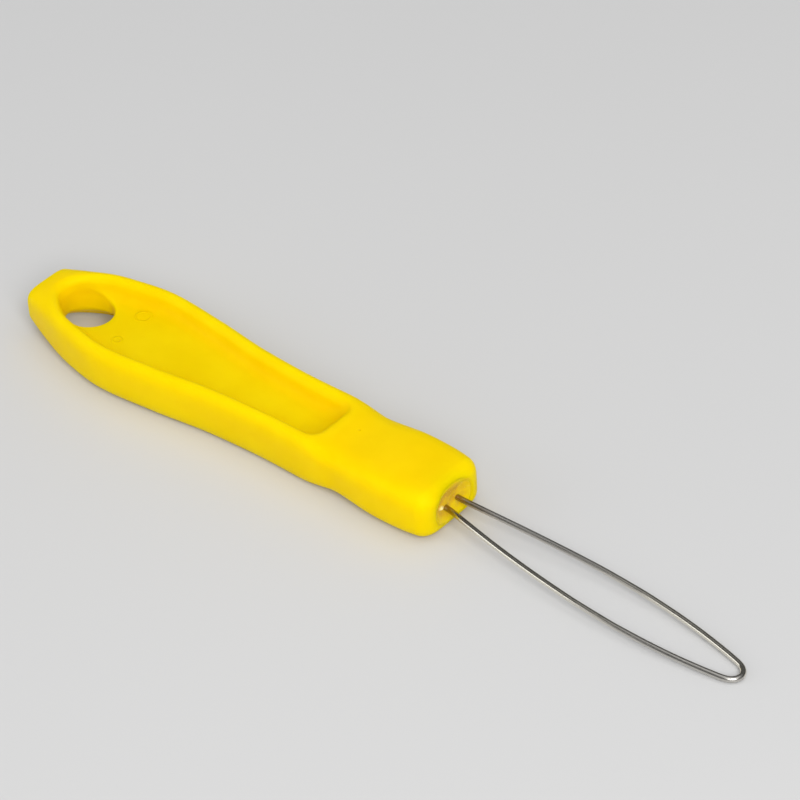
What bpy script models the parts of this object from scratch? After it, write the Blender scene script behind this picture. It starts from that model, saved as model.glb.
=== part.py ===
"""Needle threader: a moulded plastic handle, a sprung steel wire loop and the resin that bonds the loop in.

Metres, +Z up, +X from the handle's tail towards the loop's tip. The origin is on the surface that the object
lies on, under the middle of its length. The handle's two broad faces are alike, but for the tail, which rises
underneath, and for the hanging hole, which narrows downwards.
"""

import math

import bmesh
import bpy
import numpy as np

MM = 0.001

# Handle: one moulding, measured from its tail.
HANDLE_LENGTH = 65.0 * MM
CENTRE_HEIGHT = 3.4 * MM  # of the mid plane, and so half the thickness between the flat rim lands
TAIL_EDGE_RADIUS = 0.5 * MM
NOSE_EDGE_RADIUS = 1.8 * MM
GRIP_SQUARENESS = 4.2  # superellipse power of the grip's cross-section: 2 is an ellipse
NOSE_SQUARENESS = 3.9
GRIP_END, NOSE_START = 0.72, 0.80  # where the cross-section turns from one to the other, as parts of the length
# Each station is (part of the handle's length, millimetres): tail, palm swell, waist, neck and nose block.
HALF_WIDTHS = (
    (0.0, 3.5), (0.06, 4.86), (0.14, 6.43), (0.24, 7.47), (0.36, 6.81), (0.5, 5.63),
    (0.62, 5.28), (0.75, 5.42), (0.783, 5.26), (0.82, 5.44), (0.87, 5.65), (0.94, 5.56), (1.0, 5.02),
)
# The same for the height of the outer shape above and below the mid plane, before the rims' flat lands cut it.
UPPER_HEIGHTS = (
    (0.0, 2.6), (0.06, 3.3), (0.12, 3.86), (0.24, 3.9), (0.7, 3.86), (0.785, 3.05), (0.9, 3.55), (1.0, 3.25),
)
LOWER_HEIGHTS = (
    (0.0, 1.9), (0.05, 2.9), (0.1, 3.55), (0.17, 3.88), (0.7, 3.86), (0.785, 3.05), (0.9, 3.6), (1.0, 3.3),
)

# Recess in each broad face, with a flat web between the two.
WEB_HALF_THICKNESS = 0.85 * MM
UPPER_RIM, LOWER_RIM = 1.8 * MM, 1.6 * MM  # from the handle's outline to the recess's wall
UPPER_TAIL, LOWER_TAIL, RECESS_FRONT = 3.1 * MM, 2.2 * MM, 47.1 * MM
# The wall's profile, from the web to above the rim: (part of the climb, how much further in, how much further out
# the front wall is). The top is chamfered, for the rim's rounded crest.
WALL_PROFILE = ((0.0, 0.5, 0.0), (0.25, 0.38, 0.0), (0.7, 0.15, 0.0), (1.0, -0.4, 0.3), (1.6, -0.4, 0.3))
FRONT_RIM_EXTRA = 0.3 * MM  # the rim is this much wider by the recess's front end
FRONT_RIM_SPAN = 38.0 * MM, 47.0 * MM
RECESS_TAIL_ROUND = 4.6 * MM
RECESS_CORNER = 1.5 * MM
FRONT_WALL_SLOPE = 2.2 * MM  # run of the sloping front wall
# The hole at the web's top and bottom: its widest place, reach to the tail, reach forwards, half width and power.
HOLE_TOP = (7.05, 3.55, 3.55, 3.05, 2.0)
HOLE_BOTTOM = (8.2, 4.65, 2.4, 2.72, 1.9)

# Pocket in the nose's front face, with a narrow slot behind it for the legs of the wire.
POCKET_HALF_WIDTH, POCKET_HALF_HEIGHT, POCKET_DEPTH = 2.95 * MM, 2.25 * MM, 1.6 * MM
SLOT_HALF_WIDTH, SLOT_HALF_HEIGHT, SLOT_DEPTH = 2.5 * MM, 1.3 * MM, 11.0 * MM
SLOT_DROP = 0.29 * MM  # of the slot and the legs' middle, below the mid plane

# Wire loop: one round wire in a plane which droops and leans a little. By the nose it lies higher than the plane.
WIRE_RADIUS = 0.36 * MM
LOOP_REACH = 40.55 * MM  # from the nose's front face to the middle of the wire at the tip
LEG_LENGTH = 10.0 * MM  # inside the nose
LOOP_DROOP = math.atan2(2.42, 40.6)
LOOP_LEAN = -math.atan2(1.0, 40.6)
LOOP_HALF_WIDTHS = (
    (0.0, 1.08), (0.1, 1.61), (0.2, 2.1), (0.3, 2.5), (0.4, 2.81), (0.5, 3.01),
    (0.6, 3.05), (0.7, 2.89), (0.8, 2.54), (0.9, 1.95), (1.0, 1.15),
)
LOOP_RISE, LOOP_RISE_SPAN = 0.28 * MM, 14.0 * MM  # height above the plane at the nose, and how far it runs out
TIP_ROUND = 0.97  # part of the reach where the tip's round end begins
FLEX_POINT = 6.0 * MM  # in front of the nose: the point about which the sprung loop turns when pushed

# Resin: fills the slot and most of the pocket, with a clearance to what it touches.
CLEARANCE = 0.12 * MM
RESIN_FACE_DEPTH = 0.75 * MM

HANDLE_SECTIONS, SECTION_POINTS = 30, 36
RECESS_STEPS, OVAL_POINTS, HOLE_POINTS, BORE_POINTS = 22, 24, 36, 14
WIRE_STEPS = 26

OVERALL_LENGTH = HANDLE_LENGTH + LOOP_REACH + WIRE_RADIUS
TAIL_X = -OVERALL_LENGTH / 2
NOSE_X = TAIL_X + HANDLE_LENGTH


def clear_scene():
    for old in list(bpy.data.objects):
        bpy.data.objects.remove(old)


def profile(stations, at):
    """A smooth curve through the stations that makes no bump between them (monotone cubic Hermite)."""
    x, y = (np.array(column) for column in zip(*stations))
    run, slope = np.diff(x), np.diff(y) / np.diff(x)
    rising = slope[1:] * slope[:-1] > 0
    middle = np.zeros(len(x) - 2)
    middle[rising] = 2 / (1 / slope[1:][rising] + 1 / slope[:-1][rising])
    tangent = np.concatenate([slope[:1], middle, slope[-1:]])
    cell = np.clip(np.searchsorted(x, at, side="right") - 1, 0, len(run) - 1)
    t = (at - x[cell]) / run[cell]
    start = y[cell] * (1 + 2 * t) * (1 - t) ** 2 + tangent[cell] * run[cell] * t * (1 - t) ** 2
    return start + y[cell + 1] * t**2 * (3 - 2 * t) + tangent[cell + 1] * run[cell] * t**2 * (t - 1)


def half_width(x):
    return profile(HALF_WIDTHS, np.asarray(x) / HANDLE_LENGTH) * MM


def half_height(stations, x):
    return profile(stations, np.asarray(x) / HANDLE_LENGTH) * MM


def edge_loss(distance, radius):
    """How far a rounded edge pulls the surface in, at this distance from the end face."""
    short = np.clip(1 - distance / radius, 0, 1)
    return radius * (1 - np.sqrt(1 - short**2))


def superellipse(half_a, half_b, power, count):
    angle = np.linspace(0, 2 * math.pi, count, endpoint=False)
    c, s = np.cos(angle), np.sin(angle)
    return half_a * np.sign(c) * np.abs(c) ** (2 / power), half_b * np.sign(s) * np.abs(s) ** (2 / power)


def loft(name, rings):
    """A closed solid through rings of the same number of points, with a flat cap on each end."""
    bm = bmesh.new()
    made = [[bm.verts.new(point) for point in ring] for ring in rings]
    for here, there in zip(made, made[1:]):
        for k in range(len(here)):
            n = (k + 1) % len(here)
            bm.faces.new((here[k], here[n], there[n], there[k]))
    bm.faces.new(made[0])
    bm.faces.new(made[-1])
    bmesh.ops.recalc_face_normals(bm, faces=bm.faces)
    mesh = bpy.data.meshes.new(name)
    bm.to_mesh(mesh)
    bm.free()
    obj = bpy.data.objects.new(name, mesh)
    bpy.context.scene.collection.objects.link(obj)
    return obj


def cutter(name, rings):
    obj = loft(name, rings)
    obj.hide_render = True
    obj.display_type = "WIRE"
    return obj


def boolean(target, tool, operation):
    modifier = target.modifiers.new(f"{operation} {tool.name}", "BOOLEAN")
    modifier.operation = operation
    modifier.object = tool


def paint(obj, colour, roughness, metallic):
    material = bpy.data.materials.new(obj.name)
    material.use_nodes = True
    shader = material.node_tree.nodes["Principled BSDF"]
    shader.inputs["Base Color"].default_value = (*colour, 1.0)
    shader.inputs["Roughness"].default_value = roughness
    shader.inputs["Metallic"].default_value = metallic
    obj.data.materials.append(material)


def smooth(obj, angle):
    obj.data.shade_smooth()
    obj.data.set_sharp_from_angle(angle=math.radians(angle))


def oval_rings(half_a, half_b, power, spans, drop=0.0):
    """Rings of an oval prism along X, one at each of the spans, with its middle this far below the mid plane."""
    y, z = superellipse(half_a, half_b, power, OVAL_POINTS)
    return [np.column_stack([np.full(OVAL_POINTS, x), y, z - drop]) for x in spans]


def handle_body():
    """The outer shape, in a frame whose X starts at the tail and whose Z starts at the mid plane."""
    ends = [TAIL_EDGE_RADIUS * (1 - math.cos(a)) for a in np.linspace(0, math.pi / 2, 4)]
    nose = [HANDLE_LENGTH - NOSE_EDGE_RADIUS * (1 - math.cos(a)) for a in np.linspace(math.pi / 2, 0, 6)]
    between = np.linspace(ends[-1], nose[0], HANDLE_SECTIONS)[1:-1]
    stations = np.concatenate([ends, between, nose])
    loss = edge_loss(stations, TAIL_EDGE_RADIUS) + edge_loss(HANDLE_LENGTH - stations, NOSE_EDGE_RADIUS)
    widths = half_width(stations) - loss
    tops, bottoms = (half_height(heights, stations) - loss for heights in (UPPER_HEIGHTS, LOWER_HEIGHTS))
    span = np.array([GRIP_END, NOSE_START]) * HANDLE_LENGTH
    powers = np.interp(stations, span, [GRIP_SQUARENESS, NOSE_SQUARENESS])
    rings = []
    for x, width, top, bottom, power in zip(stations, widths, tops, bottoms, powers):
        y, z = superellipse(width, 1.0, power, SECTION_POINTS)
        z = np.clip(z * np.where(z > 0, top, bottom), -CENTRE_HEIGHT, CENTRE_HEIGHT)
        rings.append(np.column_stack([np.full(SECTION_POINTS, x), y, z]))
    return loft("handle", rings)


def recess_outline(inset, tail, front):
    """Half outline of a recess: from the middle of its tail end along +Y to the middle of its front end."""
    turn = np.linspace(0, math.pi / 2, 8)[:-1]
    x_tail = tail + RECESS_TAIL_ROUND * (1 - np.cos(turn))
    x_side = np.linspace(tail + RECESS_TAIL_ROUND, front - RECESS_CORNER, RECESS_STEPS)
    corner = np.linspace(0, math.pi / 2, 5)[1:]
    x_corner = front - RECESS_CORNER * (1 - np.sin(corner))
    x = np.concatenate([x_tail, x_side, x_corner])
    side = half_width(x) - inset - np.interp(x, FRONT_RIM_SPAN, [0, FRONT_RIM_EXTRA])
    side[: len(turn)] *= np.sin(turn)
    side[-len(corner) :] -= RECESS_CORNER * (1 - np.cos(corner))
    return np.column_stack([x, np.maximum(side, 0)])


def recess_cutter(name, direction, rim, tail):
    """The space above (direction 1) or below (-1) the web, with drafted walls and a sloping front wall."""
    rise = CENTRE_HEIGHT - WEB_HALF_THICKNESS
    rings = []
    for climb, further_in, further_out in WALL_PROFILE:
        front = RECESS_FRONT + further_out * MM - FRONT_WALL_SLOPE * max(1 - climb, 0) ** 2
        half = recess_outline(rim + further_in * MM, tail + further_in * MM, front)
        other = half[-1:0:-1] * (1, -1)
        outline = np.concatenate([half, other])
        z = direction * (WEB_HALF_THICKNESS + rise * climb)
        rings.append(np.column_stack([outline, np.full(len(outline), z)]))
    return cutter(name, rings)


def hole_ring(shape, z):
    middle, back, forward, half, power = shape
    x, y = superellipse(1.0, half * MM, power, HOLE_POINTS)
    x = middle + x * np.where(x < 0, back, forward)
    return np.column_stack([x * MM, y, np.full(HOLE_POINTS, z)])


def hole_cutter():
    """The hanging hole: straight in both recesses, and narrowing downwards through the web between them."""
    lower = [hole_ring(HOLE_BOTTOM, z) for z in (-CENTRE_HEIGHT, -WEB_HALF_THICKNESS)]
    upper = [hole_ring(HOLE_TOP, z) for z in (WEB_HALF_THICKNESS, CENTRE_HEIGHT)]
    return cutter("hanging_hole_cutter", lower + upper)


def pocket_cutter():
    spans = (HANDLE_LENGTH - POCKET_DEPTH, HANDLE_LENGTH + POCKET_DEPTH)
    return cutter("pocket_cutter", oval_rings(POCKET_HALF_WIDTH, POCKET_HALF_HEIGHT, 2.5, spans))


def slot_cutter():
    spans = (HANDLE_LENGTH - SLOT_DEPTH, HANDLE_LENGTH)
    return cutter("slot_cutter", oval_rings(SLOT_HALF_WIDTH, SLOT_HALF_HEIGHT, 3.0, spans, SLOT_DROP))


def make_handle():
    handle = handle_body()
    tools = (
        recess_cutter("upper_recess_cutter", 1, UPPER_RIM, UPPER_TAIL),
        recess_cutter("lower_recess_cutter", -1, LOWER_RIM, LOWER_TAIL),
        hole_cutter(),
        pocket_cutter(),
        slot_cutter(),
    )
    for tool in tools:
        boolean(handle, tool, "DIFFERENCE")
    for obj in (handle, *tools):
        obj.location = (TAIL_X, 0, CENTRE_HEIGHT)
    smooth(handle, 35)
    paint(handle, (0.92, 0.66, 0.01), 0.42, 0.0)


def loop_side(count):
    """One side of the loop in its own plane, from the nose's face to the tip: distance out, and half width."""
    turn = np.linspace(0, math.pi / 2, 9)
    straight = np.linspace(0, TIP_ROUND, count)[:-1]
    part = np.concatenate([straight, TIP_ROUND + (1 - TIP_ROUND) * np.sin(turn)])
    round_end = np.concatenate([np.ones(len(straight)), np.cos(turn)])
    return part * LOOP_REACH, profile(LOOP_HALF_WIDTHS, part) * MM * round_end


def wire_path():
    """The whole wire from one leg's end round the tip to the other's, X from the nose's face, Z from the plane."""
    out, width = loop_side(WIRE_STEPS)
    leg = np.linspace(-LEG_LENGTH, 0, 5)[:-1]
    x = np.concatenate([leg, out])
    y = np.concatenate([np.full(len(leg), width[0]), width])
    z = LOOP_RISE * np.clip(1 - x / LOOP_RISE_SPAN, 0, 1) ** 2
    side = np.column_stack([x, y, z])
    return np.concatenate([side, side[-2::-1] * (1, -1, 1)])


def tube(name, points, radius):
    curve = bpy.data.curves.new(name, "CURVE")
    curve.dimensions = "3D"
    curve.bevel_depth = radius
    curve.bevel_resolution = 3
    curve.use_fill_caps = True
    spline = curve.splines.new("POLY")
    spline.points.add(len(points) - 1)
    for target, point in zip(spline.points, points):
        target.co = (*point, 1.0)
    obj = bpy.data.objects.new(name, curve)
    bpy.context.scene.collection.objects.link(obj)
    return obj


def place_with_loop(obj):
    """Puts an object drawn in the loop's plane, with its origin on the flex axis, into its drooping place."""
    drop = SLOT_DROP + (LEG_LENGTH / 2 + FLEX_POINT) * math.tan(LOOP_DROOP)
    lean = FLEX_POINT * math.tan(LOOP_LEAN)
    obj.location = (NOSE_X + FLEX_POINT, lean, CENTRE_HEIGHT - drop)
    obj.rotation_euler = (0, LOOP_DROOP, LOOP_LEAN)


def make_wire_loop():
    wire = tube("wire_loop", wire_path() - (FLEX_POINT, 0, 0), WIRE_RADIUS)
    place_with_loop(wire)
    paint(wire, (0.55, 0.53, 0.49), 0.25, 1.0)


def leg_bore(side):
    """Room for one leg in the resin: a round bore from just behind the leg's end out through the front."""
    angle = np.linspace(0, 2 * math.pi, BORE_POINTS, endpoint=False)
    radius = WIRE_RADIUS + CLEARANCE
    y = side * LOOP_HALF_WIDTHS[0][1] * MM + radius * np.cos(angle)
    z = LOOP_RISE + radius * np.sin(angle)
    spans = (-LEG_LENGTH - CLEARANCE - FLEX_POINT, -FLEX_POINT / 2)
    name = "left_leg_bore" if side > 0 else "right_leg_bore"
    bore = cutter(name, [np.column_stack([np.full(len(y), x), y, z]) for x in spans])
    place_with_loop(bore)
    return bore


def make_adhesive_plug():
    pocket_spans = (HANDLE_LENGTH - POCKET_DEPTH + CLEARANCE, HANDLE_LENGTH - RESIN_FACE_DEPTH)
    slot_spans = (HANDLE_LENGTH - SLOT_DEPTH + CLEARANCE, HANDLE_LENGTH - POCKET_DEPTH + 3 * CLEARANCE)
    pocket_size = POCKET_HALF_WIDTH - CLEARANCE, POCKET_HALF_HEIGHT - CLEARANCE
    slot_size = SLOT_HALF_WIDTH - CLEARANCE, SLOT_HALF_HEIGHT - CLEARANCE
    plug = loft("adhesive_plug", oval_rings(*pocket_size, 2.5, pocket_spans))
    stem = cutter("stem_cutter", oval_rings(*slot_size, 3.0, slot_spans, SLOT_DROP))
    for obj in (plug, stem):
        obj.location = (TAIL_X, 0, CENTRE_HEIGHT)
    boolean(plug, stem, "UNION")
    for side in (1, -1):
        boolean(plug, leg_bore(side), "DIFFERENCE")
    smooth(plug, 35)
    paint(plug, (0.62, 0.36, 0.06), 0.2, 0.0)


clear_scene()
make_handle()
make_wire_loop()
make_adhesive_plug()
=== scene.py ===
"""Needle threader: the looks of the handle, the wire loop and the resin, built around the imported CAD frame.

The shapes are worked out in millimetres, with X from the handle's tail and Z from its mid plane, and are then
put in the frame's metres.
"""

import math

import bpy
import numpy as np
from mathutils import Matrix, Vector

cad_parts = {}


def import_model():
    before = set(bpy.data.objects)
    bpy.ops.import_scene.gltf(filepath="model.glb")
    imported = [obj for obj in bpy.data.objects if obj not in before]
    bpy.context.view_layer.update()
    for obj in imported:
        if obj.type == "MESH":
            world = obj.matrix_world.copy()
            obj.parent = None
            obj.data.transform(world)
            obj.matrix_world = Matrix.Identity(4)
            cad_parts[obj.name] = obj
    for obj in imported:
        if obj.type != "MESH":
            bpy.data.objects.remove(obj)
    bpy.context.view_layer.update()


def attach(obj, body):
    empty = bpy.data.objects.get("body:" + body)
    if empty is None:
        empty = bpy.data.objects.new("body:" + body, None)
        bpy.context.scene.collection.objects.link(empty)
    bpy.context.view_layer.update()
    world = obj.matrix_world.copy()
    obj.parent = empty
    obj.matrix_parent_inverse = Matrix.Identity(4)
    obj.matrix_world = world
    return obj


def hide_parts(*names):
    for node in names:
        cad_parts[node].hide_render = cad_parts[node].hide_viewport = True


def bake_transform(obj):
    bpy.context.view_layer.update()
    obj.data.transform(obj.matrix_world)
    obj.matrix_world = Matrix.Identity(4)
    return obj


MM = 0.001

# Handle, as in the CAD model.
LENGTH = 65.0
LAND_HEIGHT = 3.4  # of the rim's flat lands above the mid plane
TAIL_EDGE_RADIUS, NOSE_EDGE_RADIUS = 0.5, 1.8
SECTION_POWERS = ((0.72, 4.2), (0.80, 3.9))
HALF_WIDTHS = (
    (0.0, 3.5), (0.06, 4.86), (0.14, 6.43), (0.24, 7.47), (0.36, 6.81), (0.5, 5.63),
    (0.62, 5.28), (0.75, 5.42), (0.783, 5.26), (0.82, 5.44), (0.87, 5.65), (0.94, 5.56), (1.0, 5.02),
)
UPPER_HEIGHTS = (
    (0.0, 2.6), (0.06, 3.3), (0.12, 3.86), (0.24, 3.9), (0.7, 3.86), (0.785, 3.05), (0.9, 3.55), (1.0, 3.25),
)
LOWER_HEIGHTS = (
    (0.0, 1.9), (0.05, 2.9), (0.1, 3.55), (0.17, 3.88), (0.7, 3.86), (0.785, 3.05), (0.9, 3.6), (1.0, 3.3),
)
WEB_HALF_THICKNESS = 0.85
UPPER_RIM, LOWER_RIM, WALL_DRAFT = 1.8, 1.6, 0.5
FRONT_RIM_EXTRA, FRONT_RIM_SPAN = 0.3, (38.0, 47.0)
UPPER_TAIL, LOWER_TAIL, RECESS_FRONT = 3.1, 2.2, 47.1
RECESS_TAIL_ROUND, RECESS_CORNER, FRONT_WALL_SLOPE = 4.6, 1.5, 2.2
# The hole at the web's top and bottom: its widest place, its reach to the tail and forwards, its half width
# and its power.
HOLE_TOP = (7.05, 3.55, 3.55, 3.05, 2.0)
HOLE_BOTTOM = (8.2, 4.65, 2.4, 2.72, 1.9)
POCKET_HALF_WIDTH, POCKET_HALF_HEIGHT, POCKET_POWER, POCKET_DEPTH = 2.95, 2.25, 2.5, 1.6

# Small roundings of the moulding.
LAND_ROUND, CREST_ROUND, FOOT_ROUND, HOLE_ROUND = 0.45, 1.1, 1.2, 0.25
POCKET_ROUND, POCKET_FLOOR_ROUND = 0.5, 0.3

# Below the web the wall's foot is rounder round the hole, so that the hole's wall runs on down to the rim.
TAIL_FOOT_ROUND, TAIL_FOOT_SPAN = 2.3, (11.0, 16.0)

# Marks of the mould's ejector pins in the web: X, Y, the ring's radius (0 for a spot) and the line's width.
EJECTOR_MARKS = ((13.5, 3.1, 0.95, 0.24), (14.1, -2.1, 0.55, 0.2), (50.6, 0.4, 0.0, 0.25))

# Wire loop, as in the CAD model.
WIRE_RADIUS = 0.36
LOOP_REACH = 40.55
LEG_LENGTH = 10.0
SLOT_DROP = 0.29
FLEX_REACH = 6.0  # of the joint's axis in front of the nose
LOOP_DROOP = math.atan2(2.42, 40.6)
LOOP_LEAN = -math.atan2(1.0, 40.6)
LOOP_HALF_WIDTHS = (
    (0.0, 1.08), (0.1, 1.61), (0.2, 2.1), (0.3, 2.5), (0.4, 2.81), (0.5, 3.01),
    (0.6, 3.05), (0.7, 2.89), (0.8, 2.54), (0.9, 1.95), (1.0, 1.15),
)
LOOP_RISE, LOOP_RISE_SPAN = 0.28, 14.0  # height above the loop's plane at the nose, and how far it runs out
TIP_ROUND = 0.97  # of the loop's reach, where the round end begins

# Resin. It climbs the pocket's wall and the legs, overlaps the plastic and has a small bead, which carries a
# painted highlight.
LEG_SHOWN = 1.4  # how far behind the nose's face the legs run on, inside the resin
RESIN_DEPTH = 0.78  # of the resin's face behind the nose's
RESIN_OVERLAP = 0.3
WALL_CLIMB, WALL_CLIMB_REACH = 0.62, 0.6
LEG_CLIMB, LEG_CLIMB_REACH = 0.16, 0.2
BEAD_HEIGHT, BEAD_SPREAD, BEAD_FLATNESS = 0.34, 0.09, 1.6
BEAD_OFFSET = (-0.72, 0.28)  # of its middle from the leg on the -Y side
WAVE_HEIGHT = 0.06

# Colours, as linear light. The plural ones run from darker to paler.
PLASTIC_COLOURS = (0.84, 0.57, 0.0, 1), (0.88, 0.61, 0.001, 1)
# The steel's pair: the darker one is painted shade, the paler one the lit steel; which way the wire leans
# picks between them.
STEEL_PAINTED_SHADE_AND_LIT = (0.60, 0.58, 0.54, 1), (0.78, 0.75, 0.66, 1)
# The brown near the nose is a painted reflection of the yellow handle in the wire.
ROOT_REFLECTION_COLOUR = (0.30, 0.19, 0.07, 1)
RESIN_PALER, RESIN_DARKER = (0.86, 0.595, 0.002, 1), (0.64, 0.36, 0.016, 1)
# The bead's pale colour is a painted highlight.
BUBBLE_COLOUR, BEAD_HIGHLIGHT_COLOUR = (0.93, 0.72, 0.2, 1), (0.95, 0.82, 0.36, 1)
TABLE_COLOURS = (0.595, 0.595, 0.595, 1), (0.615, 0.615, 0.615, 1)

# The room, in metres and watts. It is darker where it is mirrored than where it lights.
ROOM_LIGHT, ROOM_REFLECTION = 0.51, 0.08
TABLE_HALF_SIZE = 1.6
SOFTBOXES = (  # name, place, size and power
    ("softbox_right", (0.58, -0.42, 0.6), (0.5, 0.5), 6.3),
    ("softbox_front", (-0.58, -0.58, 0.28), (0.55, 0.45), 1.1),
    ("softbox_top", (0.15, 0.0, 0.8), (0.8, 0.9), 1.5),
)
CAMERA_PLACE, CAMERA_AIM = (0.20151, -0.21523, 0.25263), (-0.00770, 0.01350, -0.00018)
CAMERA_LENS, CAMERA_ROLL = 151.1, math.radians(3.706)

# How finely the pieces are made.
HANDLE_STEP, RESIN_STEP = 0.13, 0.07
WIRE_SPACING, WIRE_SIDES = 0.14, 28
LEAST_NORM = 0.05  # keeps the ovals' distances finite at their middles

OVERALL = LENGTH + LOOP_REACH + WIRE_RADIUS
TAIL_X = -OVERALL / 2


def profile(stations, at):
    """A smooth curve through the stations that makes no bump between them (monotone cubic Hermite)."""
    x, y = (np.array(column) for column in zip(*stations))
    run, slope = np.diff(x), np.diff(y) / np.diff(x)
    rising = slope[1:] * slope[:-1] > 0
    middle = np.zeros(len(x) - 2)
    middle[rising] = 2 / (1 / slope[1:][rising] + 1 / slope[:-1][rising])
    tangent = np.concatenate([slope[:1], middle, slope[-1:]])
    cell = np.clip(np.searchsorted(x, at, side="right") - 1, 0, len(run) - 1)
    t = (at - x[cell]) / run[cell]
    start = y[cell] * (1 + 2 * t) * (1 - t) ** 2 + tangent[cell] * run[cell] * t * (1 - t) ** 2
    return start + y[cell + 1] * t**2 * (3 - 2 * t) + tangent[cell + 1] * run[cell] * t**2 * (t - 1)


def evened(column, sigma, reach):
    """The column of numbers with its small changes evened out over so many places, and its ends kept."""
    weight = np.exp(-0.5 * (np.arange(-reach, reach + 1) / sigma) ** 2)
    before, after = 2 * column[0] - column[reach:0:-1], 2 * column[-1] - column[-2 : -reach - 2 : -1]
    return np.convolve(np.concatenate([before, column, after]), weight / weight.sum(), "valid")


def table(stations, count=2601):
    """The stations' curve, evened out and sampled closely, so that it can be looked up quickly."""
    part = np.linspace(0, 1, count)
    return part * LENGTH, evened(profile(stations, part), 24, 60)


WIDTH_TABLE, UPPER_TABLE, LOWER_TABLE = table(HALF_WIDTHS), table(UPPER_HEIGHTS), table(LOWER_HEIGHTS)


def round_max(a, b, radius):
    """Where both distances are negative, with the edge between them rounded to this radius."""
    outside = np.hypot(np.maximum(a + radius, 0), np.maximum(b + radius, 0))
    return np.minimum(np.maximum(a, b), -radius) + outside


def oval_distance(y, z, half_y, half_z, power):
    """Roughly how far a point is outside an oval (superellipse)."""
    u, v = np.abs(y) / half_y, np.abs(z) / half_z
    norm = np.maximum((u**power + v**power) ** (1 / power), LEAST_NORM)
    slope = norm ** (1 - power) * np.hypot(u ** (power - 1) / half_y, v ** (power - 1) / half_z)
    return (norm - 1) / np.maximum(slope, 0.5 / np.maximum(half_y, half_z))


def recess_distance(x, y, z, half_width):
    """Roughly how far a point is outside the recess on its side of the mid plane."""
    height = np.abs(z)
    climb = (height - WEB_HALF_THICKNESS) / (LAND_HEIGHT - WEB_HALF_THICKNESS)
    inset = np.where(z > 0, UPPER_RIM, LOWER_RIM) + WALL_DRAFT * (1 - climb)
    inset = inset + np.interp(x, FRONT_RIM_SPAN, (0, FRONT_RIM_EXTRA))
    tail = np.where(z > 0, UPPER_TAIL, LOWER_TAIL) + WALL_DRAFT * (1 - climb)
    u = np.maximum(1 - (x - tail) / RECESS_TAIL_ROUND, 0)
    inner = half_width - inset
    v = np.abs(y) / inner
    norm = np.maximum(np.hypot(u, v), LEAST_NORM)
    sides = (norm - 1) * norm / np.maximum(np.hypot(u / RECESS_TAIL_ROUND, v / inner), 0.02)
    short = np.clip(1 - climb, 0, 1)
    steep = np.hypot(1, 2 * FRONT_WALL_SLOPE * short / (LAND_HEIGHT - WEB_HALF_THICKNESS))
    front = (x - RECESS_FRONT + FRONT_WALL_SLOPE * short**2) / steep
    foot = np.where(z > 0, FOOT_ROUND, np.interp(x, TAIL_FOOT_SPAN, (TAIL_FOOT_ROUND, FOOT_ROUND)))
    return round_max(round_max(sides, front, RECESS_CORNER), WEB_HALF_THICKNESS - height, foot)


def hole_distance(x, y, z):
    """Roughly how far a point is outside the hole, which narrows from the web's top to its bottom."""
    climb = np.clip((z / WEB_HALF_THICKNESS + 1) / 2, 0, 1)
    middle, back, forward, half, power = (b + (t - b) * climb for t, b in zip(HOLE_TOP, HOLE_BOTTOM))
    reach = np.where(x < middle, back, forward)
    return oval_distance(x - middle, y, reach, half, power)


def handle_distance(x, y, z):
    """Roughly how far a point is outside the moulding."""
    half_width = np.interp(x, *WIDTH_TABLE)
    half_height = np.where(z > 0, np.interp(x, *UPPER_TABLE), np.interp(x, *LOWER_TABLE))
    spans, powers = zip(*SECTION_POWERS)
    power = np.interp(x / LENGTH, spans, powers)
    body = oval_distance(y, z, half_width, half_height, power)
    body = round_max(body, np.abs(z) - LAND_HEIGHT, LAND_ROUND)
    body = round_max(body, x - LENGTH, NOSE_EDGE_RADIUS)
    body = round_max(body, -x, TAIL_EDGE_RADIUS)
    body = round_max(body, -recess_distance(x, y, z, half_width), CREST_ROUND)
    body = round_max(body, -hole_distance(x, y, z), HOLE_ROUND)
    pocket = oval_distance(y, z, POCKET_HALF_WIDTH, POCKET_HALF_HEIGHT, POCKET_POWER)
    pocket = round_max(pocket, LENGTH - POCKET_DEPTH - x, POCKET_FLOOR_ROUND)
    return round_max(body, -pocket, POCKET_ROUND)


def gradient(distance, points):
    """The distance at each point, and its slope along each axis."""
    small = 0.01
    slope = np.empty_like(points)
    for axis in range(3):
        ahead, behind = points.copy(), points.copy()
        ahead[:, axis] += small
        behind[:, axis] -= small
        slope[:, axis] = (distance(*ahead.T) - distance(*behind.T)) / (2 * small)
    return distance(*points.T), slope


def project(distance, points, limit, times):
    """Moves points onto the surface where the distance is zero."""
    for _ in range(times):
        value, slope = gradient(distance, points)
        move = value / np.maximum((slope**2).sum(1), 0.05)
        points = points - np.clip(move, -limit, limit)[:, None] * slope
    return points


def even_out(points, quads, factor):
    """Moves each point towards the middle of its neighbours."""
    ends = np.concatenate([quads[:, [0, 1]], quads[:, [1, 2]], quads[:, [2, 3]], quads[:, [3, 0]]])
    count = np.bincount(ends[:, 0], minlength=len(points)) + np.bincount(ends[:, 1], minlength=len(points))
    middle = np.empty_like(points)
    for axis in range(3):
        ahead = np.bincount(ends[:, 0], points[ends[:, 1], axis], len(points))
        behind = np.bincount(ends[:, 1], points[ends[:, 0], axis], len(points))
        middle[:, axis] = (ahead + behind) / count
    return points + factor * (middle - points)


def surface_cells(inside):
    """Which cells of the grid the surface runs through."""
    total = np.zeros(np.array(inside.shape) - 1, np.int8)
    for corner in np.ndindex(2, 2, 2):
        total += inside[tuple(slice(c, n - 1 + c) for c, n in zip(corner, inside.shape))]
    return (total > 0) & (total < 8)


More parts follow.
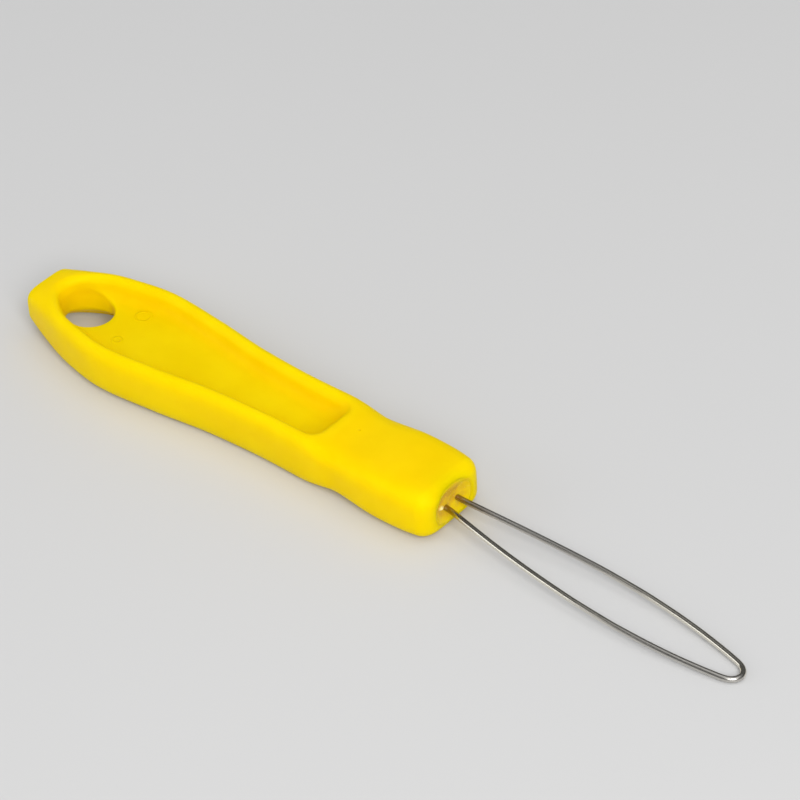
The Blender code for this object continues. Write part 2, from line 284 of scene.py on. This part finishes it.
def surface_quads(inside, index):
    """A quad across each grid edge that the surface crosses, facing outwards."""
    quads = []
    for axis in range(3):
        one, two = (axis + 1) % 3, (axis + 2) % 3
        window = [slice(1, -1)] * 3
        window[axis] = slice(None)
        line = inside[tuple(window)]
        start = [slice(None)] * 3
        start[axis] = slice(0, -1)
        end = [slice(None)] * 3
        end[axis] = slice(1, None)
        leaves = line[tuple(start)] & ~line[tuple(end)]
        enters = ~line[tuple(start)] & line[tuple(end)]
        for crossing, order in ((leaves, (0, 1, 2, 3)), (enters, (3, 2, 1, 0))):
            at = np.argwhere(crossing)
            at[:, one] += 1
            at[:, two] += 1
            corners = []
            for back_one, back_two in ((1, 1), (0, 1), (0, 0), (1, 0)):
                cell = at.copy()
                cell[:, one] -= back_one
                cell[:, two] -= back_two
                corners.append(index[tuple(cell.T)])
            quads.append(np.stack([corners[k] for k in order], 1))
    return np.concatenate(quads)


def implicit_surface(distance, low, high, step):
    """The surface where the distance is zero, as even quads: surface nets, smoothed along the surface."""
    axes = [np.arange(lo, hi + step, step) for lo, hi in zip(low, high)]
    inside = np.stack([distance(*np.meshgrid([x], *axes[1:], indexing="ij"))[0] < 0 for x in axes[0]])
    cells = surface_cells(inside)
    index = np.full(cells.shape, -1)
    index[cells] = np.arange(cells.sum())
    points = np.array(low) + (np.argwhere(cells) + 0.5) * step
    quads = surface_quads(inside, index)
    points = project(distance, points, step, 3)
    for _ in range(4):
        points = even_out(points, quads, 0.5)
        points = project(distance, points, step, 1)
    return points, quads


def to_frame(points):
    """Millimetres from the tail and the mid plane to the frame's metres."""
    return (points + (TAIL_X, 0, LAND_HEIGHT)) * MM


def new_piece(name, points, faces):
    """A smooth mesh object at these points of the frame."""
    mesh = bpy.data.meshes.new(name)
    mesh.from_pydata(points.tolist(), [], faces.tolist())
    mesh.update()
    mesh.shade_smooth()
    obj = bpy.data.objects.new(name, mesh)
    bpy.context.scene.collection.objects.link(obj)
    return obj


def make_handle():
    low, high = (-0.6, -8.2, -4.0), (LENGTH + 0.6, 8.2, 4.0)
    points, quads = implicit_surface(handle_distance, low, high, HANDLE_STEP)
    return new_piece("handle_moulding", to_frame(points), quads)


def loop_side(count):
    """One side of the loop in its own plane, from the nose's face to the tip: reach, and half width."""
    turn = np.linspace(0, math.pi / 2, 40)
    straight = np.linspace(0, TIP_ROUND, count)[:-1]
    part = np.concatenate([straight, TIP_ROUND + (1 - TIP_ROUND) * np.sin(turn)])
    round_end = np.concatenate([np.ones(len(straight)), np.cos(turn)])
    return part * LOOP_REACH, profile(LOOP_HALF_WIDTHS, part) * round_end


def evenly(path, spacing):
    """The path again, with its points this far apart."""
    along = np.concatenate([[0], np.cumsum(np.linalg.norm(np.diff(path, axis=0), axis=1))])
    at = np.linspace(0, along[-1], int(along[-1] / spacing))
    return np.stack([np.interp(at, along, column) for column in path.T], 1)


def wire_path():
    """The shown wire, from one leg round the tip to the other: X from the nose's face, Z from its plane."""
    out, width = loop_side(240)
    x = np.concatenate([[-LEG_SHOWN], out])
    y = np.concatenate([[width[0]], width])
    z = LOOP_RISE * np.clip(1 - x / LOOP_RISE_SPAN, 0, 1) ** 2
    side = np.column_stack([x, y, z])
    path = evenly(np.concatenate([side, side[-2::-1] * (1, -1, 1)]), WIRE_SPACING)
    return np.stack([evened(column, 4, 12) for column in path.T], 1)


def loop_to_handle(points):
    """From the loop's own plane, with X from the nose's face, to the handle's millimetres."""
    turn = Matrix.Rotation(LOOP_LEAN, 3, "Z") @ Matrix.Rotation(LOOP_DROOP, 3, "Y")
    drop = SLOT_DROP + (LEG_LENGTH / 2 + FLEX_REACH) * math.tan(LOOP_DROOP)
    at = np.array([LENGTH + FLEX_REACH, FLEX_REACH * math.tan(LOOP_LEAN), -drop])
    return (points - (FLEX_REACH, 0, 0)) @ np.array(turn).T + at


def sweep(path, radius, sides):
    """A round tube along a path that is nearly flat in Z."""
    along = np.gradient(path, axis=0)
    along /= np.linalg.norm(along, axis=1)[:, None]
    across = np.cross((0, 0, 1), along)
    across /= np.linalg.norm(across, axis=1)[:, None]
    above = np.cross(along, across)
    angle = np.linspace(0, 2 * math.pi, sides, endpoint=False)
    around = np.cos(angle)[None, :, None] * across[:, None] + np.sin(angle)[None, :, None] * above[:, None]
    ring = path[:, None] + radius * around
    n, k = np.meshgrid(np.arange(len(path) - 1), np.arange(sides), indexing="ij")
    near, far = n * sides, (n + 1) * sides
    quads = np.stack([near + k, near + (k + 1) % sides, far + (k + 1) % sides, far + k], -1).reshape(-1, 4)
    return ring.reshape(-1, 3), quads[:, ::-1]


def set_points(obj, name, kind, field, values):
    """Gives each point of the mesh a value that a material can read."""
    obj.data.attributes.new(name, kind, "POINT").data.foreach_set(field, values.ravel())


def make_wire():
    path = wire_path()
    points, quads = sweep(path, WIRE_RADIUS, WIRE_SIDES)
    wire = new_piece("wire", to_frame(loop_to_handle(points)), quads)
    along = np.repeat(points[:, 0].reshape(-1, WIRE_SIDES).mean(1), WIRE_SIDES)
    run = np.repeat(np.arange(len(path)) * WIRE_SPACING, WIRE_SIDES)
    angle = np.tile(np.linspace(0, 2 * math.pi, WIRE_SIDES, endpoint=False), len(path))
    place = np.column_stack([run, np.cos(angle), np.sin(angle)])
    step = np.gradient(path, axis=0)
    heading = np.repeat(step[:, 1] * np.sign(step[:, 0]) / np.linalg.norm(step, axis=1), WIRE_SIDES)
    set_points(wire, "wire_place", "FLOAT_VECTOR", "vector", place)
    set_points(wire, "from_nose", "FLOAT", "value", along)
    set_points(wire, "heading", "FLOAT", "value", heading)
    return wire


def leg_places():
    """Where each leg's middle crosses the resin's face: (y, z) in the handle's millimetres."""
    root = LOOP_HALF_WIDTHS[0][1]
    ends = loop_to_handle(np.array([[-RESIN_DEPTH, root, LOOP_RISE], [-RESIN_DEPTH, -root, LOOP_RISE]]))
    return [(end[1], end[2]) for end in ends]


def bead_place():
    """The middle of the small bead of resin beside the leg on the -Y side, where a highlight is painted: (y,
    z).
    """
    leg_y, leg_z = leg_places()[1]
    return leg_y + BEAD_OFFSET[0], leg_z + BEAD_OFFSET[1]


def nose_loss(y, z):
    """How far the nose's rounded front lies behind its foremost point."""
    half_height = np.where(z > 0, UPPER_TABLE[1][-1], LOWER_TABLE[1][-1])
    edge = oval_distance(y, z, WIDTH_TABLE[1][-1], half_height, SECTION_POWERS[1][1]) + NOSE_EDGE_RADIUS
    return NOSE_EDGE_RADIUS - np.sqrt(NOSE_EDGE_RADIUS**2 - np.clip(edge, 0, NOSE_EDGE_RADIUS) ** 2)


def resin_distance(x, y, z):
    """Roughly how far a point is outside the cured resin, which climbs the wall and has a bead by one leg."""
    wall = oval_distance(y, z, POCKET_HALF_WIDTH + 0.04, POCKET_HALF_HEIGHT + 0.04, POCKET_POWER)
    depth = RESIN_DEPTH - WALL_CLIMB * np.exp(np.minimum(wall, 0) / WALL_CLIMB_REACH) + nose_loss(y, z)
    for leg_y, leg_z in leg_places():
        away = np.maximum(np.hypot(y - leg_y, z - leg_z) - WIRE_RADIUS, 0)
        depth = depth - LEG_CLIMB * np.exp(-away / LEG_CLIMB_REACH)
    bead_y, bead_z = bead_place()
    from_bead = (y - bead_y) ** 2 + BEAD_FLATNESS * (z - bead_z) ** 2
    depth = depth - BEAD_HEIGHT * np.exp(-from_bead / BEAD_SPREAD)
    depth = depth + WAVE_HEIGHT * np.sin(1.9 * y + 0.6) * np.cos(2.3 * z)
    body = round_max(wall - RESIN_OVERLAP, LENGTH - POCKET_DEPTH + 0.05 - x, 0.1)
    return round_max(body, x - (LENGTH - depth), 0.05)


def make_resin():
    low = (LENGTH - POCKET_DEPTH - 0.2, -3.6, -2.9)
    high = (LENGTH + 0.4, 3.6, 2.9)
    points, quads = implicit_surface(resin_distance, low, high, RESIN_STEP)
    return new_piece("resin", to_frame(points), quads)


class Nodes:
    """Short calls for making a material's nodes."""

    def __init__(self, name):
        self.material = bpy.data.materials.new(name)
        self.material.use_nodes = True
        self.tree = self.material.node_tree
        self.shader = self.tree.nodes["Principled BSDF"]

    def put(self, node, name, value):
        socket = node.inputs[name]
        if isinstance(value, bpy.types.NodeSocket):
            self.tree.links.new(value, socket)
        else:
            socket.default_value = value

    def add(self, kind, inputs=(), **settings):
        node = self.tree.nodes.new(kind)
        for name, value in settings.items():
            setattr(node, name, value)
        for name, value in dict(inputs).items():
            self.put(node, name, value)
        return node

    def set(self, **values):
        for name, value in values.items():
            self.put(self.shader, name.replace("_", " "), value)

    def math(self, operation, *values):
        return self.add("ShaderNodeMath", dict(enumerate(values)), operation=operation).outputs[0]

    def vector(self, operation, *values):
        return self.add("ShaderNodeVectorMath", dict(enumerate(values)), operation=operation).outputs[0]

    def length(self, vector):
        return self.add("ShaderNodeVectorMath", {0: vector}, operation="LENGTH").outputs["Value"]

    def attribute(self, name, output="Fac"):
        return self.add("ShaderNodeAttribute", attribute_name=name).outputs[output]

    def place(self):
        """The frame's coordinates, in millimetres."""
        at = self.add("ShaderNodeTexCoord").outputs["Object"]
        return self.vector("MULTIPLY", at, (1 / MM,) * 3)

    def noise(self, vector, scale, detail=2.0, roughness=0.5):
        inputs = {"Vector": vector, "Scale": scale, "Detail": detail, "Roughness": roughness}
        return self.add("ShaderNodeTexNoise", inputs).outputs["Fac"]

    def spread(self, value, low, high, to_low, to_high):
        """The value, with low to high spread over to_low to to_high."""
        inputs = {"Value": value, "From Min": low, "From Max": high, "To Min": to_low, "To Max": to_high}
        return self.add("ShaderNodeMapRange", inputs).outputs["Result"]

    def mix(self, factor, first, second):
        node = self.add("ShaderNodeMix", data_type="RGBA")
        for name, value in (("Factor_Float", factor), ("A_Color", first), ("B_Color", second)):
            socket = next(s for s in node.inputs if s.identifier == name)
            if isinstance(value, bpy.types.NodeSocket):
                self.tree.links.new(value, socket)
            else:
                socket.default_value = value
        return next(s for s in node.outputs if s.identifier == "Result_Color")

    def bump(self, height, strength, distance, normal=None):
        inputs = {"Height": height, "Strength": strength, "Distance": distance}
        if normal is not None:
            inputs["Normal"] = normal
        return self.add("ShaderNodeBump", inputs).outputs["Normal"]


def moulding_marks(n, at):
    """Height of the small marks that the mould's ejector pins left in the web: two rings and a spot."""
    height = None
    for x, y, radius, width in EJECTOR_MARKS:
        away = n.vector("SUBTRACT", at, (x + TAIL_X, y, 0))
        reach = n.length(n.vector("MULTIPLY", away, (1, 1, 0)))
        off = n.math("ABSOLUTE", n.math("SUBTRACT", reach, radius))
        mark = n.spread(off, 0.0, width, 1.0, 0.0)
        height = mark if height is None else n.math("MAXIMUM", height, mark)
    return height


def plastic_material():
    """Satin yellow plastic with a slight glow through thin edges and faint flow marks."""
    n = Nodes("yellow_plastic")
    at = n.place()
    cloud = n.noise(at, 0.16, 3.0)
    colour = n.mix(n.spread(cloud, 0.35, 0.65, 0, 1), *PLASTIC_COLOURS)
    grain = n.noise(at, 9.0, 4.0, 0.6)
    waves = n.noise(at, 0.5, 2.0)
    rough = n.spread(n.noise(at, 0.8, 3.0), 0.3, 0.7, 0.36, 0.46)
    normal = n.bump(waves, 0.25, 0.00006)
    normal = n.bump(grain, 0.35, 0.00001, normal)
    normal = n.bump(moulding_marks(n, at), 0.8, 0.00012, normal)
    n.set(Base_Color=colour, Roughness=rough, Normal=normal, IOR=1.5, Specular_IOR_Level=0.05)
    n.set(Specular_Tint=(1.0, 0.8, 0.2, 1))
    n.set(Subsurface_Weight=0.7, Subsurface_Radius=(1.0, 0.92, 0.05), Subsurface_Scale=0.004)
    return n.material


def wire_material():
    """Drawn steel with fine streaks, with painted shade where it leans to +Y on its way out, and a painted
    brown reflection of the yellow nose on its roots.
    """
    n = Nodes("spring_steel")
    stretched = n.vector("MULTIPLY", n.attribute("wire_place", "Vector"), (0.25, 6, 6))
    streaks = n.noise(stretched, 1.6, 4.0, 0.6)
    # Painted shade: darker steel where the wire leans to +Y on its way out, paler where it leans to -Y.
    painted_lit_part = n.spread(n.attribute("heading"), 0.07, -0.05, 0, 1)
    # Painted reflection: the wire's first 5 mm out of the nose tinted brown, as the yellow nose mirrored in
    # it.
    painted_root_reflection = n.spread(n.attribute("from_nose"), 0.0, 5.0, 0.75, 0.0)
    colour = n.mix(painted_root_reflection, n.mix(painted_lit_part, *STEEL_PAINTED_SHADE_AND_LIT), ROOT_REFLECTION_COLOUR)
    rough = n.math("ADD", n.spread(streaks, 0.3, 0.7, 0.12, 0.26), n.spread(painted_lit_part, 0, 1, 0.1, 0.0))
    normal = n.bump(streaks, 0.3, 0.00001)
    n.set(Base_Color=colour, Metallic=1.0, Roughness=rough, Normal=normal)
    return n.material


def resin_material():
    """Yellow-amber resin, darker amber towards the top and the -Y side and paler at the pocket's wall, with
    fine bubbles and a painted highlight on its bead.
    """
    n = Nodes("amber_resin")
    at = n.place()
    parts = n.add("ShaderNodeSeparateXYZ", {"Vector": at}).outputs
    height = n.math("SUBTRACT", parts["Z"], LAND_HEIGHT)
    slant = n.math("SUBTRACT", n.math("MULTIPLY", height, 0.22), n.math("MULTIPLY", parts["Y"], 0.09))
    cloud = n.spread(n.noise(at, 0.9, 3.0), 0.3, 0.7, -0.35, 0.35)
    oval = (0, 1 / POCKET_HALF_WIDTH, 1 / POCKET_HALF_HEIGHT)
    middle = n.vector("SUBTRACT", at, (0, 0, LAND_HEIGHT))
    outwards = n.length(n.vector("MULTIPLY", middle, oval))
    # Darker amber towards the top and the -Y side, mottled, and paler near the pocket's wall.
    darker_part = n.spread(n.math("ADD", slant, cloud), -0.4, 0.15, 0, 1)
    darker_part = n.math("MULTIPLY", darker_part, n.spread(outwards, 0.7, 1.0, 1, 0))
    colour = n.mix(darker_part, RESIN_PALER, RESIN_DARKER)
    cells = n.add("ShaderNodeTexVoronoi", {"Vector": at, "Scale": 3.2}).outputs["Distance"]
    bubbles = n.math("MULTIPLY", n.spread(cells, 0.1, 0.22, 1, 0), n.spread(height, -0.4, 1.2, 0.1, 0.85))
    colour = n.mix(bubbles, colour, BUBBLE_COLOUR)
    bead_y, bead_z = bead_place()
    bead = n.vector("SUBTRACT", at, (0, bead_y, bead_z + LAND_HEIGHT))
    reach = n.length(n.vector("MULTIPLY", bead, (0, 1, 1.2)))
    # Painted highlight: the bead's middle coloured pale cream.
    colour = n.mix(n.spread(reach, 0.2, 0.42, 0.9, 0), colour, BEAD_HIGHLIGHT_COLOUR)
    normal = n.bump(n.noise(at, 1.3, 2.0), 0.3, 0.00008)
    normal = n.bump(bubbles, 0.5, 0.00003, normal)
    n.set(Base_Color=colour, Roughness=0.22, Normal=normal, IOR=1.5, Specular_IOR_Level=0.12)
    n.set(Subsurface_Weight=0.6, Subsurface_Radius=(1.0, 0.6, 0.08), Subsurface_Scale=0.001)
    return n.material


def floor_material():
    """Plain pale table top, very slightly glossy."""
    n = Nodes("pale_floor")
    colour = n.mix(n.noise(n.place(), 0.01, 2.0), *TABLE_COLOURS)
    n.set(Base_Color=colour, Roughness=0.5, Specular_IOR_Level=0.3)
    return n.material


def make_floor():
    corner = np.array([[-1, -1, 0], [1, -1, 0], [1, 1, 0], [-1, 1, 0]]) * TABLE_HALF_SIZE
    floor = new_piece("table_top", corner, np.array([[0, 1, 2, 3]]))
    floor.data.materials.append(floor_material())


def softbox(name, place, size, power):
    """An area light that faces the middle of the table."""
    light = bpy.data.lights.new(name, "AREA")
    light.shape = "RECTANGLE"
    light.size, light.size_y = size
    light.energy = power
    obj = bpy.data.objects.new(name, light)
    bpy.context.scene.collection.objects.link(obj)
    obj.location = place
    obj.rotation_euler = (Vector() - Vector(place)).to_track_quat("-Z", "Y").to_euler()


def make_light():
    """Soft light from all round, with the softboxes."""
    for box in SOFTBOXES:
        softbox(*box)
    world = bpy.data.worlds.new("studio")
    world.use_nodes = True
    nodes, links = world.node_tree.nodes, world.node_tree.links
    background = nodes["Background"]
    ray = nodes.new("ShaderNodeLightPath")
    strength = nodes.new("ShaderNodeMapRange")
    strength.inputs["To Min"].default_value = ROOM_LIGHT
    strength.inputs["To Max"].default_value = ROOM_REFLECTION
    links.new(ray.outputs["Is Glossy Ray"], strength.inputs["Value"])
    links.new(strength.outputs["Result"], background.inputs["Strength"])
    background.inputs["Color"].default_value = (1, 1, 1, 1)
    bpy.context.scene.world = world


def make_camera():
    """A long lens, from above the loop's near side, turned a little about its own axis."""
    camera = bpy.data.cameras.new("camera")
    camera.sensor_width = 36
    camera.lens = CAMERA_LENS
    camera.clip_start = 0.01
    obj = bpy.data.objects.new("camera", camera)
    bpy.context.scene.collection.objects.link(obj)
    place = Vector(CAMERA_PLACE)
    back = (place - Vector(CAMERA_AIM)).normalized()
    right = Vector((0, 0, 1)).cross(back).normalized()
    up = back.cross(right)
    turned_right = math.cos(CAMERA_ROLL) * right - math.sin(CAMERA_ROLL) * up
    turned_up = math.sin(CAMERA_ROLL) * right + math.cos(CAMERA_ROLL) * up
    turn = Matrix((turned_right, turned_up, back)).transposed().to_4x4()
    obj.matrix_world = Matrix.Translation(place) @ turn
    bpy.context.scene.camera = obj


def dress(obj, material):
    obj.data.materials.append(material)


def main():
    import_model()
    handle, wire, resin = make_handle(), make_wire(), make_resin()
    dress(handle, plastic_material())
    dress(wire, wire_material())
    dress(resin, resin_material())
    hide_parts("handle")
    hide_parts("wire_loop")
    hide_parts("adhesive_plug")
    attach(handle, "handle")
    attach(resin, "handle")
    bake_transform(wire)
    make_floor()
    make_light()
    make_camera()
    bpy.context.scene.view_settings.view_transform = "Standard"


main()
